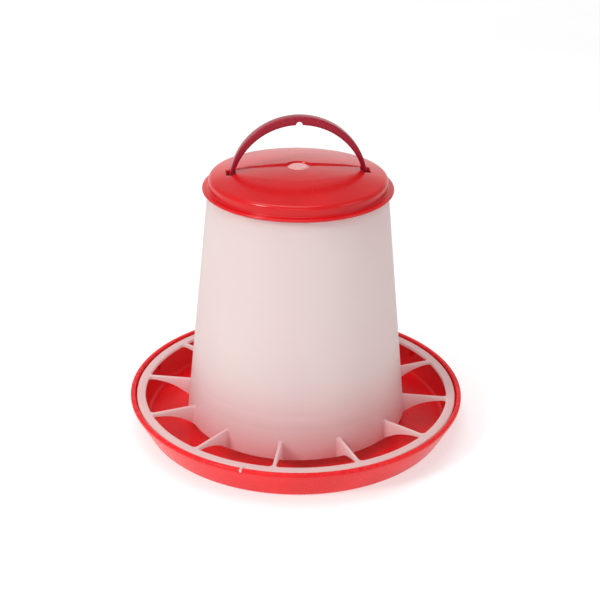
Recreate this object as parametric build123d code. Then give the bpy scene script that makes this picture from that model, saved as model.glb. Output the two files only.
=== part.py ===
from build123d import *
import os
from math import cos, radians, sin, sqrt

# A hanging or standing poultry feeder: a shallow round pan, a tapered hopper whose foot carries a
# grid of feeding cells, a domed lid that plugs into the hopper's mouth, and a bail handle that
# hinges in the lid. Millimetres. The origin is at the centre of the pan's underside, +Z is up the
# axis of the hopper, and the handle's hinge line runs along X.

# ---- Pan ----
PAN_RADIUS = 135.0            # outside of the rim
PAN_HEIGHT = 26.5
PAN_BASE_RADIUS = 122.2       # where the sloped wall would meet the ground
PAN_WALL = 2.0
PAN_FLOOR = 2.2
PAN_CORNER = 5.0              # outside rounding between the base and the wall
RIM_WIDTH = 3.6
RIM_DEPTH = 2.4               # upright outer face of the rim
RIM_ROUNDING = 0.9
CONE_HEIGHT = 32.0            # spreading cone, above the pan's floor
CONE_BASE_RADIUS = 46.0
CONE_TIP_RADIUS = 5.0
REST_COUNT = 6                # gussets on the pan's wall that carry the grid
REST_WIDTH = 2.4
REST_OVERLAP = 3.0            # how far a gusset reaches in under the ring
REST_DEPTH = 12.0

# ---- Grid: the ring, its keys and the divider fins ----
RING_SIDE_GAP = 1.6           # between the ring and the rim's mouth
RING_WIDTH = 6.7
RING_THICKNESS = 2.5
RING_DROP = 1.1               # ring's top below the rim's top
RING_ROUNDING = 0.5
KEY_COUNT = 2
KEY_WIDTH = 1.8
KEY_HEIGHT = 2.2
KEY_DROP = 0.3                # key's top and tip, back from the rim's top and outside
KEY_CLEARANCE = 0.4
KEY_FIRST = -23.0             # degrees round from the front, -Y
FIN_COUNT = 12
FIN_THICKNESS = 2.2
FIN_END_HEIGHT = 3.1          # height of a fin where it meets the ring
FIN_FIRST = -13.0             # degrees round from the front, -Y

# ---- Hopper ----
FEED_GAP = 7.2                # between the pan's floor and the hopper's bottom edge
HOPPER_HEIGHT = 189.0
HOPPER_BOTTOM_RADIUS = 88.8
HOPPER_TOP_RADIUS = 69.1
HOPPER_WALL = 1.8

# ---- Lid ----
FLANGE_OVERHANG = 4.3         # past the hopper's outside
FLANGE_THICKNESS = 2.0
LID_SETBACK = 4.9             # from the flange's edge to the lid's upright wall
LID_WALL_HEIGHT = 7.7         # above the flange, to where wall and crown would meet
LID_CROWN_RISE = 8.4
LID_SKIN = 2.4
SHOULDER_ROUNDING = 3.2
PLUG_CLEARANCE = 0.3
PLUG_DEPTH = 8.0
PLUG_WALL = 1.8
RISER_HEIGHT = 1.3            # step behind the handle, down to the sunk front field
RISER_SETBACK = 4.7           # the step, behind the hinge line
FIELD_REACH = 30.0            # how far the sunk field runs out in front
GATE_RADIUS = 7.0             # moulding gate disc in the middle of the lid
GATE_MARGIN = 2.6
GATE_HEIGHT = 0.6

# ---- Handle and its hinge ----
HINGE_BELOW_CROWN = 8.5
ARCH_HEIGHT = 47.2            # top of the arch above the hinge line
ARCH_OUTER_RADIUS = 53.0
ARCH_INNER_RADIUS = 50.5
GRIP_THICKNESS = 6.2
GRIP_DEPTH = 9.0              # front to back, over the grip
LEG_DEPTH = 5.2               # front to back, at the hinge line
LEG_TAPER_HEIGHT = 22.0       # above the hinge line, where the leg has its full depth
NOTCH_RADIUS = 2.5            # hanging notch under the grip
PIN_RADIUS = 1.5
PIN_BITE = 2.4                # length of a pin inside its ear
PIN_RUNNING_CLEARANCE = 0.08
SWING = 30.0                  # degrees either way from upright
SLOT_INNER_GAP = 1.9          # slot past the leg's inner face
SLOT_OUTER_GAP = 2.2          # slot past the leg's outer face
SLOT_END_GAP = 0.5
EAR_THICKNESS = 3.0
EAR_MARGIN = 2.4              # wall round the pin's bore

# ---- Places that follow from the sizes above ----
MOUTH_RADIUS = PAN_RADIUS - RIM_WIDTH
RING_OUTER_RADIUS = MOUTH_RADIUS - RING_SIDE_GAP
RING_INNER_RADIUS = RING_OUTER_RADIUS - RING_WIDTH
GRID_TOP = PAN_HEIGHT - RING_DROP
RING_BOTTOM = GRID_TOP - RING_THICKNESS
HOPPER_BOTTOM = PAN_FLOOR + FEED_GAP
HOPPER_TOP = HOPPER_BOTTOM + HOPPER_HEIGHT
FLANGE_RADIUS = HOPPER_TOP_RADIUS + FLANGE_OVERHANG
FLANGE_TOP = HOPPER_TOP + FLANGE_THICKNESS
LID_RADIUS = FLANGE_RADIUS - LID_SETBACK
LID_CORNER_TOP = FLANGE_TOP + LID_WALL_HEIGHT
CROWN_TOP = LID_CORNER_TOP + LID_CROWN_RISE
CROWN_RADIUS = (LID_RADIUS**2 + LID_CROWN_RISE**2) / (2 * LID_CROWN_RISE)
CROWN_CENTRE = CROWN_TOP - CROWN_RADIUS
PLUG_RADIUS = HOPPER_TOP_RADIUS - HOPPER_WALL - PLUG_CLEARANCE
HINGE_HEIGHT = CROWN_TOP - HINGE_BELOW_CROWN
ARCH_TOP = HINGE_HEIGHT + ARCH_HEIGHT
ARCH_OUTER_CENTRE = ARCH_TOP - ARCH_OUTER_RADIUS
ARCH_INNER_TOP = ARCH_TOP - GRIP_THICKNESS
ARCH_INNER_CENTRE = ARCH_INNER_TOP - ARCH_INNER_RADIUS
LEG_OUTER = sqrt(ARCH_OUTER_RADIUS**2 - (HINGE_HEIGHT - ARCH_OUTER_CENTRE) ** 2)
LEG_INNER = sqrt(ARCH_INNER_RADIUS**2 - (HINGE_HEIGHT - ARCH_INNER_CENTRE) ** 2)
EAR_INNER = LEG_OUTER + SLOT_OUTER_GAP


def crown_height(radius, skin=0.0):
    """Height of the crown's outside, or of the surface one skin under it, at a radius."""
    return CROWN_CENTRE + sqrt((CROWN_RADIUS - skin) ** 2 - radius**2)


def pan_wall_radius(height):
    """Outside of the pan's sloped wall at a height."""
    slope = (PAN_RADIUS - PAN_BASE_RADIUS) / (PAN_HEIGHT - RIM_DEPTH)
    return PAN_BASE_RADIUS + slope * height


def section(*corners):
    """A closed outline of (radius, height) corners, on the XZ plane. A third value rounds a corner."""
    outline = make_face(Polyline(*[corner[:2] for corner in corners], close=True))
    for corner in corners:
        if len(corner) == 3:
            outline = fillet(outline.vertices().sort_by_distance(corner[:2])[0], corner[2])
    return Plane.XZ * outline


def round_from_front(shape, angle):
    """Turn a shape that lies along +X to an angle measured from the front, -Y."""
    return Rot(0, 0, angle - 90.0) * shape


def key(clearance):
    """A locating key along +X, or with a clearance the slot for it, open at the rim's top and outside."""
    tip = PAN_RADIUS - KEY_DROP + 2 * clearance
    top = PAN_HEIGHT - KEY_DROP + 2 * clearance
    bottom = PAN_HEIGHT - KEY_DROP - KEY_HEIGHT - clearance
    root = RING_OUTER_RADIUS - RING_WIDTH / 2
    size = (tip - root, KEY_WIDTH + 2 * clearance, top - bottom)
    return Pos((tip + root) / 2, 0, (top + bottom) / 2) * Box(*size)


def standing_cone(base_radius, tip_radius, bottom, height):
    """A truncated cone that stands on a height, on the axis."""
    return Pos(0, 0, bottom + height / 2) * Cone(base_radius, tip_radius, height)


def pan():
    wall_top = PAN_HEIGHT - RIM_DEPTH
    inner_base = pan_wall_radius(PAN_FLOOR) - PAN_WALL
    chamfer_foot = wall_top - RIM_WIDTH + PAN_WALL
    bowl = revolve(section(
        (0, 0),
        (PAN_BASE_RADIUS, 0, PAN_CORNER),
        (PAN_RADIUS, wall_top),
        (PAN_RADIUS, PAN_HEIGHT, RIM_ROUNDING),
        (MOUTH_RADIUS, PAN_HEIGHT, RIM_ROUNDING),
        (MOUTH_RADIUS, wall_top),
        (pan_wall_radius(chamfer_foot) - PAN_WALL, chamfer_foot),
        (inner_base, PAN_FLOOR, PAN_CORNER - PAN_WALL),
        (0, PAN_FLOOR),
    ), Axis.Z)
    bowl += standing_cone(CONE_BASE_RADIUS, CONE_TIP_RADIUS, PAN_FLOOR, CONE_HEIGHT)
    bowl -= standing_cone(CONE_BASE_RADIUS, CONE_TIP_RADIUS, 0, CONE_HEIGHT)
    rest_tip = RING_OUTER_RADIUS - REST_OVERLAP
    rest_foot = RING_BOTTOM - REST_DEPTH
    rest = extrude(section(
        (rest_tip, RING_BOTTOM),
        (pan_wall_radius(RING_BOTTOM) - PAN_WALL / 2, RING_BOTTOM),
        (pan_wall_radius(rest_foot) - PAN_WALL / 2, rest_foot),
    ), REST_WIDTH / 2, both=True)
    for place in range(REST_COUNT):
        angle = FIN_FIRST + 360.0 * (place + 0.25) / REST_COUNT
        bowl += round_from_front(rest, angle)
    for place in range(KEY_COUNT):
        bowl -= round_from_front(key(KEY_CLEARANCE), KEY_FIRST + 360.0 * place / KEY_COUNT)
    return bowl


def hopper_envelope():
    """The hopper's outside as one solid."""
    return standing_cone(HOPPER_BOTTOM_RADIUS, HOPPER_TOP_RADIUS, HOPPER_BOTTOM, HOPPER_HEIGHT)


def hopper_barrel():
    inside = standing_cone(
        HOPPER_BOTTOM_RADIUS - HOPPER_WALL, HOPPER_TOP_RADIUS - HOPPER_WALL, HOPPER_BOTTOM, HOPPER_HEIGHT
    )
    return hopper_envelope() - inside


def grid_ring():
    ring = revolve(section(
        (RING_INNER_RADIUS, RING_BOTTOM),
        (RING_OUTER_RADIUS, RING_BOTTOM),
        (RING_OUTER_RADIUS, GRID_TOP, RING_ROUNDING),
        (RING_INNER_RADIUS, GRID_TOP),
    ), Axis.Z)
    core = Pos(0, 0, PAN_HEIGHT / 2) * Cylinder(RING_OUTER_RADIUS - RING_ROUNDING, PAN_HEIGHT)
    for place in range(KEY_COUNT):
        ring += round_from_front(key(0) - core, KEY_FIRST + 360.0 * place / KEY_COUNT)
    return ring


def divider_fin(angle):
    """One upright fin from the hopper's wall to the ring, with an arched lower edge."""
    ring_end = (RING_INNER_RADIUS, GRID_TOP - FIN_END_HEIGHT)
    wall_end = (HOPPER_BOTTOM_RADIUS, HOPPER_BOTTOM)
    edges = [
        TangentArc(ring_end, wall_end, tangent=(-1, 0)),
        Polyline(
            wall_end,
            (HOPPER_TOP_RADIUS, HOPPER_BOTTOM),
            (HOPPER_TOP_RADIUS, GRID_TOP),
            (RING_OUTER_RADIUS, GRID_TOP),
            (RING_OUTER_RADIUS, GRID_TOP - FIN_END_HEIGHT),
            ring_end,
        ),
    ]
    blade = extrude(Plane.XZ * make_face(edges), FIN_THICKNESS / 2, both=True)
    inside_ring = Pos(0, 0, PAN_HEIGHT / 2) * Cylinder(RING_INNER_RADIUS, PAN_HEIGHT)
    return round_from_front((blade & inside_ring) - hopper_envelope(), angle)


def lid_shell():
    """The lid without its hinge: flange, plug, upright wall and crown, turned about the axis."""
    plug_inner = PLUG_RADIUS - PLUG_WALL
    wall_inner = LID_RADIUS - LID_SKIN
    half_out, half_in = LID_RADIUS / 2, wall_inner / 2
    crown_foot = crown_height(wall_inner, LID_SKIN)
    edges = [
        ThreePointArc((0, CROWN_TOP), (half_out, crown_height(half_out)), (LID_RADIUS, LID_CORNER_TOP)),
        Polyline(
            (LID_RADIUS, LID_CORNER_TOP),
            (LID_RADIUS, FLANGE_TOP),
            (FLANGE_RADIUS, FLANGE_TOP),
            (FLANGE_RADIUS, HOPPER_TOP),
            (PLUG_RADIUS, HOPPER_TOP),
            (PLUG_RADIUS, HOPPER_TOP - PLUG_DEPTH),
            (plug_inner, HOPPER_TOP - PLUG_DEPTH),
            (plug_inner, HOPPER_TOP),
            (wall_inner, FLANGE_TOP),
            (wall_inner, crown_foot),
        ),
        ThreePointArc(
            (wall_inner, crown_foot),
            (half_in, crown_height(half_in, LID_SKIN)),
            (0, CROWN_TOP - LID_SKIN),
        ),
        Line((0, CROWN_TOP - LID_SKIN), (0, CROWN_TOP)),
    ]
    outline = make_face(edges)
    for corner, rounding in (
        ((LID_RADIUS, LID_CORNER_TOP), SHOULDER_ROUNDING),
        ((FLANGE_RADIUS, FLANGE_TOP), FLANGE_THICKNESS / 2),
    ):
        outline = fillet(outline.vertices().sort_by_distance(corner)[0], rounding)
    return revolve(Plane.XZ * outline, Axis.Z)


def field_sphere():
    """The sphere that floors the sunk field: its centre's Y and Z, and its radius.

    It meets the crown in front of the handle and at both feet, and runs under it at the riser.
    """
    front = (0.0, -FIELD_REACH, crown_height(FIELD_REACH))
    foot = (LEG_INNER, 0.0, crown_height(LEG_INNER))
    riser = (0.0, RISER_SETBACK, crown_height(RISER_SETBACK) - RISER_HEIGHT)
    rows = []
    for point in (foot, riser):
        step_y, step_z = point[1] - front[1], point[2] - front[2]
        gain = sum(value**2 for value in point) - sum(value**2 for value in front)
        rows.append((2 * step_y, 2 * step_z, gain))
    (a, b, e), (c, d, f) = rows
    centre_y = (e * d - b * f) / (a * d - b * c)
    centre_z = (a * f - e * c) / (a * d - b * c)
    radius = sqrt((front[1] - centre_y) ** 2 + (front[2] - centre_z) ** 2)
    return centre_y, centre_z, radius


def slot_half_length():
    """Half the slot's length along Y: the tilted leg's edge where it passes the crown's surface."""
    tilt = radians(SWING)
    depth = crown_height(LEG_INNER) - HINGE_HEIGHT
    flare = (GRIP_DEPTH - LEG_DEPTH) / 2 / LEG_TAPER_HEIGHT
    along = (depth + LEG_DEPTH / 2 * sin(tilt)) / (cos(tilt) - flare * sin(tilt))
    return (LEG_DEPTH / 2 + flare * along) * cos(tilt) + along * sin(tilt) + SLOT_END_GAP


def lid():
    shell = lid_shell()
    centre_y, centre_z, radius = field_sphere()
    cut_depth = 2 * LID_CROWN_RISE
    field = Pos(0, RISER_SETBACK - LID_RADIUS / 2, CROWN_TOP) * Box(2 * LID_RADIUS, LID_RADIUS, cut_depth)
    field += Pos(0, 0, CROWN_TOP) * Cylinder(GATE_RADIUS + GATE_MARGIN, cut_depth)
    shell -= field - Pos(0, centre_y, centre_z) * Sphere(radius)
    gate_top = centre_z + sqrt(radius**2 - centre_y**2) + GATE_HEIGHT
    shell += Pos(0, 0, gate_top - GATE_HEIGHT) * Cylinder(GATE_RADIUS, 2 * GATE_HEIGHT)
    ear_half = PIN_RADIUS + EAR_MARGIN
    ear_top = crown_height(sqrt((EAR_INNER + EAR_THICKNESS) ** 2 + ear_half**2)) - LID_SKIN / 2
    ear_bottom = HINGE_HEIGHT - ear_half
    slot_width = LEG_OUTER - LEG_INNER + SLOT_INNER_GAP + SLOT_OUTER_GAP
    slot_middle = (EAR_INNER + LEG_INNER - SLOT_INNER_GAP) / 2
    for side in (-1, 1):
        ear_place = Pos(side * (EAR_INNER + EAR_THICKNESS / 2), 0, (ear_top + ear_bottom) / 2)
        shell += ear_place * Box(EAR_THICKNESS, 2 * ear_half, ear_top - ear_bottom)
        slot_place = Pos(side * slot_middle, 0, CROWN_TOP - LID_CROWN_RISE)
        shell -= slot_place * Box(slot_width, 2 * slot_half_length(), cut_depth)
        bore_length = EAR_THICKNESS + SLOT_OUTER_GAP
        bore_middle = EAR_INNER + (EAR_THICKNESS - SLOT_OUTER_GAP) / 2
        bore_place = Pos(side * bore_middle, 0, HINGE_HEIGHT) * Rot(0, 90, 0)
        shell -= bore_place * Cylinder(PIN_RADIUS + PIN_RUNNING_CLEARANCE, bore_length)
    return shell


def handle():
    outer = Pos(0, ARCH_OUTER_CENTRE) * Circle(ARCH_OUTER_RADIUS)
    inner = Pos(0, ARCH_INNER_CENTRE) * Circle(ARCH_INNER_RADIUS)
    above = Pos(0, HINGE_HEIGHT + ARCH_HEIGHT) * Rectangle(4 * ARCH_OUTER_RADIUS, 2 * ARCH_HEIGHT)
    front_view = (outer - inner) & above
    foot_height = LEG_DEPTH / 2
    leg_width = LEG_OUTER - LEG_INNER
    for side in (-1, 1):
        foot_place = Pos(side * (LEG_OUTER + LEG_INNER) / 2, HINGE_HEIGHT - foot_height / 2)
        front_view += foot_place * Rectangle(leg_width, foot_height)
    bow = extrude(Plane.XZ * front_view, GRIP_DEPTH / 2, both=True)
    taper_top = HINGE_HEIGHT + LEG_TAPER_HEIGHT
    side_view = Pos(0, HINGE_HEIGHT) * Circle(LEG_DEPTH / 2)
    side_view += make_face(Polyline(
        (LEG_DEPTH / 2, HINGE_HEIGHT),
        (GRIP_DEPTH / 2, taper_top),
        (GRIP_DEPTH / 2, ARCH_TOP + 1),
        (-GRIP_DEPTH / 2, ARCH_TOP + 1),
        (-GRIP_DEPTH / 2, taper_top),
        (-LEG_DEPTH / 2, HINGE_HEIGHT),
        close=True,
    ))
    bow = bow & extrude(Plane.YZ * side_view, 2 * ARCH_OUTER_RADIUS, both=True)
    bow -= Pos(0, 0, ARCH_INNER_TOP) * Rot(90, 0, 0) * Cylinder(NOTCH_RADIUS, 2 * GRIP_DEPTH)
    pin_inner = (LEG_INNER + LEG_OUTER) / 2
    pin_outer = EAR_INNER + PIN_BITE
    for side in (-1, 1):
        pin_place = Pos(side * (pin_inner + pin_outer) / 2, 0, HINGE_HEIGHT) * Rot(0, 90, 0)
        bow += pin_place * Cylinder(PIN_RADIUS, pin_outer - pin_inner)
    return bow


def main():
    os.makedirs("parts", exist_ok=True)
    nodes = {
        "pan": pan(),
        "hopper_barrel": hopper_barrel(),
        "grid_ring": grid_ring(),
        "lid": lid(),
        "handle": handle(),
    }
    for place in range(FIN_COUNT):
        nodes[f"divider_fin_{place + 1:02d}"] = divider_fin(FIN_FIRST + 360.0 * place / FIN_COUNT)
    for name, shape in nodes.items():
        export_step(shape, f"parts/{name}.step")


main()
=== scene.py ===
"""Looks for a poultry feeder: pan, hopper with its feeding grid, lid and bail handle.

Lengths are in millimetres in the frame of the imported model, and each mesh is written in metres.
The mouldings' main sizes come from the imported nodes; small features have their own named sizes.
"""

import logging
from collections.abc import Callable, Sequence
from dataclasses import dataclass
from enum import Enum
from math import atan2, ceil, cos, hypot, pi, radians, sin, sqrt, tau

import bmesh
import bpy
from mathutils import Matrix, Vector
from mathutils.geometry import delaunay_2d_cdt
from mathutils.kdtree import KDTree


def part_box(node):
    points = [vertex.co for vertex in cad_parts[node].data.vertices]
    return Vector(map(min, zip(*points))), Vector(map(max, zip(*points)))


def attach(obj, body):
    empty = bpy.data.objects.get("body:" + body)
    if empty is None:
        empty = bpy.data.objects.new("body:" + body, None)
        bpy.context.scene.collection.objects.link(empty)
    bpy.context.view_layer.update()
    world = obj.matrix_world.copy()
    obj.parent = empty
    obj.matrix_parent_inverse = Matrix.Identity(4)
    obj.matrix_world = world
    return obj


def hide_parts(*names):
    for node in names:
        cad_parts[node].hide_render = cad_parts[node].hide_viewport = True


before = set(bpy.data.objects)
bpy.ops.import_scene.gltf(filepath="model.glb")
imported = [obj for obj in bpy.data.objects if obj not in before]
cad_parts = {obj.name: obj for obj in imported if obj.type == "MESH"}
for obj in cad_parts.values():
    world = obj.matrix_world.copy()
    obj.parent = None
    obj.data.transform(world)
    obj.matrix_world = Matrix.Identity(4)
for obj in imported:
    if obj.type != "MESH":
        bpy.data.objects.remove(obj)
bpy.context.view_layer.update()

log = logging.getLogger("feeder")

MM = 0.001
MERGE = 1e-3
FRONT = -pi / 2
WHITE = (1.0, 1.0, 1.0, 1.0)

Point2 = tuple[float, float]
Point3 = tuple[float, float, float]
Colour = tuple[float, float, float, float]
Height = Callable[[float, float], float]


class Body(Enum):
    """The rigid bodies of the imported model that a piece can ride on."""

    PAN = "pan_body"
    HOPPER = "hopper_body"
    LID = "lid_body"
    HANDLE = "handle_body"


class Slot(Enum):
    """The record's material slots."""

    PAN = "pan_red"
    HOPPER = "hopper_white"
    LID = "lid_red"
    HANDLE = "handle_red"


@dataclass(frozen=True)
class Extent:
    """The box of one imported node, in millimetres."""

    low: Vector
    high: Vector

    @classmethod
    def of(cls, node: str) -> "Extent":
        """Read a node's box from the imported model.

        Args:
            node: The node's name.

        Returns:
            Its lowest and highest corners.
        """
        low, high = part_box(node)
        return cls(low / MM, high / MM)


# ---------------------------------------------------------------- outlines


@dataclass(frozen=True)
class Corner:
    """One corner of an outline, rounded by an arc where it has a radius."""

    x: float
    y: float
    radius: float = 0.0
    steps: int = 6


def arc_points(corner: Corner, before: Vector, after: Vector) -> list[Point2]:
    """The points that replace a corner.

    Args:
        corner: The corner and its radius.
        before: The point before it on the outline.
        after: The point after it.

    Returns:
        The corner itself, or points along its rounding arc.
    """
    here = Vector((corner.x, corner.y))
    if not corner.radius:
        return [(corner.x, corner.y)]
    back, ahead = (before - here).normalized(), (after - here).normalized()
    half = back.angle(ahead) / 2
    reach = corner.radius / (sin(half) / cos(half))
    centre = here + (back + ahead).normalized() * (corner.radius / sin(half))
    start, end = here + back * reach - centre, here + ahead * reach - centre
    points = []
    for step in range(corner.steps + 1):
        share = step / corner.steps
        spoke = start.slerp(end, share) if start.angle(end) > 1e-4 else start
        points.append(tuple(centre + spoke.normalized() * corner.radius))
    return points


def outline(corners: Sequence[Corner], closed: bool = True) -> list[Point2]:
    """An outline with its corners rounded.

    Args:
        corners: The corners in order.
        closed: Whether the last corner joins the first.

    Returns:
        The outline's points.
    """
    points: list[Point2] = []
    count = len(corners)
    for index, corner in enumerate(corners):
        if not closed and index in (0, count - 1):
            points.append((corner.x, corner.y))
            continue
        before, after = corners[index - 1], corners[(index + 1) % count]
        points += arc_points(corner, Vector((before.x, before.y)), Vector((after.x, after.y)))
    return points


def spread(points: Sequence[Point2], longest: float) -> list[Point2]:
    """Divide an open outline's long runs.

    Args:
        points: The outline.
        longest: The longest run that may stay whole.

    Returns:
        The outline with points added along its long runs.
    """
    result = [points[0]]
    for start, end in zip(points, points[1:]):
        pieces = max(1, ceil(hypot(end[0] - start[0], end[1] - start[1]) / longest))
        for piece in range(1, pieces + 1):
            share = piece / pieces
            result.append((start[0] + (end[0] - start[0]) * share, start[1] + (end[1] - start[1]) * share))
    return result


def circle(radius: float, count: int, centre: Point2 = (0.0, 0.0)) -> list[Point2]:
    """Evenly spaced points on a circle, counter-clockwise from +X.

    Args:
        radius: The circle's radius.
        count: How many points.
        centre: The circle's centre.

    Returns:
        The points.
    """
    return [
        (centre[0] + radius * cos(tau * step / count), centre[1] + radius * sin(tau * step / count))
        for step in range(count)
    ]


def smooth(value: float) -> float:
    """Ease a share from 0 to 1 with level ends."""
    share = min(max(value, 0.0), 1.0)
    return share * share * (3 - 2 * share)


# ---------------------------------------------------------------- meshes


@dataclass(frozen=True)
class Column:
    """One column of a turned shape, with the height that its points may reach."""

    angle: float
    ceiling: float = float("inf")


def columns_round(count: int) -> list[Column]:
    """Evenly spaced columns round the axis."""
    return [Column(tau * step / count) for step in range(count)]


def inset_loop(loop: Sequence[Point2], inset: float) -> list[Point2]:
    """Move a counter-clockwise loop inwards, or a clockwise one outwards.

    Args:
        loop: The loop.
        inset: How far.

    Returns:
        The moved loop.
    """
    if not inset:
        return list(loop)
    moved = []
    count = len(loop)
    for index, point in enumerate(loop):
        here = Vector(point)
        before = (here - Vector(loop[index - 1])).normalized()
        after = (Vector(loop[(index + 1) % count]) - here).normalized()
        normal = Vector((-before.y - after.y, before.x + after.x)).normalized()
        lean = max(normal.dot(Vector((-before.y, before.x))), 0.3)
        moved.append(tuple(here + normal * (inset / lean)))
    return moved


class Shell:
    """Vertices and faces of one piece, gathered in millimetres."""

    def __init__(self) -> None:
        """Start with no points and no faces."""
        self.points: list[Point3] = []
        self.faces: list[tuple[int, ...]] = []

    def add(self, points: Sequence[Point3]) -> list[int]:
        """Add points.

        Args:
            points: The points.

        Returns:
            Their indices.
        """
        first = len(self.points)
        self.points += points
        return list(range(first, len(self.points)))

    def strip(self, upper: Sequence[int], lower: Sequence[int], closed: bool = True) -> None:
        """Join two rows of points with quads.

        Args:
            upper: Indices of one row.
            lower: Indices of the other, as many.
            closed: Whether the rows run round.
        """
        count = len(upper)
        for step in range(count if closed else count - 1):
            after = (step + 1) % count
            self.faces.append((upper[step], lower[step], lower[after], upper[after]))

    def turn(self, section: Sequence[Point2], columns: Sequence[Column]) -> None:
        """Turn an open section about the Z axis.

        Args:
            section: Radius and height of each point.
            columns: The columns round the axis, in order.
        """
        rows = [
            self.add([(r * cos(c.angle), r * sin(c.angle), min(z, c.ceiling)) for c in columns])
            for r, z in section
        ]
        for above, below in zip(rows, rows[1:]):
            self.strip(above, below)

    def plate(self, boundary: Sequence[Point2], holes: Sequence[Sequence[Point2]],
              levels: Sequence[tuple[float, float]]) -> None:
        """Add a closed plate with rounded edges, flat on XY.

        Args:
            boundary: Its outer loop, counter-clockwise.
            holes: Loops cut through it, clockwise.
            levels: The inset and height of each level, from the bottom up.
        """
        for loop in (boundary, *holes):
            rows = [
                self.add([(x, y, height) for x, y in inset_loop(loop, inset)])
                for inset, height in levels
            ]
            for below, above in zip(rows, rows[1:]):
                self.strip(above, below)
        for inset, height in (levels[0], levels[-1]):
            self.fill(
                inset_loop(boundary, inset), [inset_loop(hole, inset) for hole in holes],
                lambda x, y, level=height: level,
            )

    def include(self, other: "Shell", place: Matrix) -> None:
        """Add another shell's points and faces.

        Args:
            other: The shell to add.
            place: Where it goes, in millimetres.
        """
        first = len(self.points)
        self.points += [tuple(place @ Vector(point)) for point in other.points]
        self.faces += [tuple(index + first for index in face) for face in other.faces]

    def fill(self, boundary: Sequence[Point2], holes: Sequence[Sequence[Point2]], height: Height,
             creases: Sequence[Sequence[Point2]] = (), extra: Sequence[Point2] = ()) -> None:
        """Cover a flat region, with holes, and lift it to a height that varies over it.

        Args:
            boundary: The region's outer loop.
            holes: Loops that stay open.
            height: The height at an x and y.
            creases: Open lines that edges follow.
            extra: More points inside the region.
        """
        points: list[Vector] = []
        edges: list[tuple[int, int]] = []
        loops: list[list[int]] = []
        for loop in (boundary, *holes):
            first = len(points)
            points += [Vector(point) for point in loop]
            indices = list(range(first, len(points)))
            edges += list(zip(indices, indices[1:] + indices[:1]))
            loops.append(indices)
        for line in creases:
            first = len(points)
            points += [Vector(point) for point in line]
            edges += [(index, index + 1) for index in range(first, len(points) - 1)]
        points += [Vector(point) for point in extra]
        flat, _, triangles, _, _, _ = delaunay_2d_cdt(points, edges, [], 0, 1e-5)
        kept = []
        for triangle in triangles:
            middle = sum((flat[index] for index in triangle), Vector((0.0, 0.0))) / 3
            if inside(middle, boundary) and not any(inside(middle, hole) for hole in holes):
                kept.append(triangle)
        indices = self.add([(p.x, p.y, height(p.x, p.y)) for p in flat])
        self.faces += [tuple(indices[index] for index in triangle) for triangle in kept]

    def mesh(self, name: str) -> bpy.types.Mesh:
        """Make a Blender mesh with joined seams and outward faces.

        Args:
            name: The mesh's name.

        Returns:
            The mesh, in metres.
        """
        work = bmesh.new()
        vertices = [work.verts.new(Vector(point) * MM) for point in self.points]
        for face in self.faces:
            corners = [vertices[index] for index in face]
            if len(set(corners)) == len(corners):
                try:
                    work.faces.new(corners)
                except ValueError:
                    log.debug("%s: a face was given twice", name)
        bmesh.ops.remove_doubles(work, verts=work.verts, dist=MERGE * MM)
        bmesh.ops.dissolve_degenerate(work, edges=work.edges, dist=MERGE * MM / 10)
        loose = [vertex for vertex in work.verts if not vertex.link_faces]
        bmesh.ops.delete(work, geom=loose, context="VERTS")
        bmesh.ops.recalc_face_normals(work, faces=work.faces)
        mesh = bpy.data.meshes.new(name)
        work.to_mesh(mesh)
        work.free()
        return mesh


def inside(point: Vector, loop: Sequence[Point2]) -> bool:
    """Whether a point is inside a closed loop, by the crossing rule.

    Args:
        point: The point.
        loop: The loop.

    Returns:
        True where it is inside.
    """
    within = False
    for (x0, y0), (x1, y1) in zip(loop, [*loop[1:], loop[0]]):
        if (y0 > point.y) != (y1 > point.y) and point.x < (x1 - x0) * (point.y - y0) / (y1 - y0) + x0:
            within = not within
    return within


@dataclass
class Piece:
    """One finished piece and what it stands for."""

    name: str
    mesh: bpy.types.Mesh
    body: Body
    slot: Slot
    material: bpy.types.Material
    nodes: tuple[str, ...]
    crease: float = 35.0

    def place(self) -> bpy.types.Object:
        """Link the piece, shade it and give it to its body.

        Returns:
            The piece's object.
        """
        self.mesh.materials.clear()
        self.mesh.materials.append(self.material)
        self.mesh.shade_smooth()
        self.mesh.set_sharp_from_angle(angle=radians(self.crease))
        piece = bpy.data.objects.new(self.name, self.mesh)
        bpy.context.scene.collection.objects.link(piece)
        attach(piece, self.body.value)
        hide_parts(*self.nodes)
        log.info("%s: %d faces on %s", self.name, len(self.mesh.polygons), self.body.value)
        return piece


# ---------------------------------------------------------------- node trees


class NodeTree:
    """A node tree under construction."""

    def __init__(self, tree: bpy.types.NodeTree) -> None:
        """Take the tree that nodes are added to."""
        self.tree = tree

    def node(self, kind: str, settings: dict[str, object] | None = None,
             inputs: dict[str | int, object] | None = None) -> bpy.types.Node:
        """Add a node.

        Args:
            kind: The node's type.
            settings: Its properties, which are set first.
            inputs: Values or links of its sockets, by name or place.

        Returns:
            The node.
        """
        made = self.tree.nodes.new(kind)
        for key, value in (settings or {}).items():
            setattr(made, key, value)
        for key, value in (inputs or {}).items():
            self.feed(made.inputs[key], value)
        return made

    def feed(self, socket: bpy.types.NodeSocket, value: object) -> None:
        """Set a socket to a value, or link it.

        Args:
            socket: The socket.
            value: A plain value, a socket or a Value.
        """
        if isinstance(value, Value):
            value = value.socket
        if isinstance(value, bpy.types.NodeSocket):
            self.tree.links.new(value, socket)
        else:
            socket.default_value = value


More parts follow.
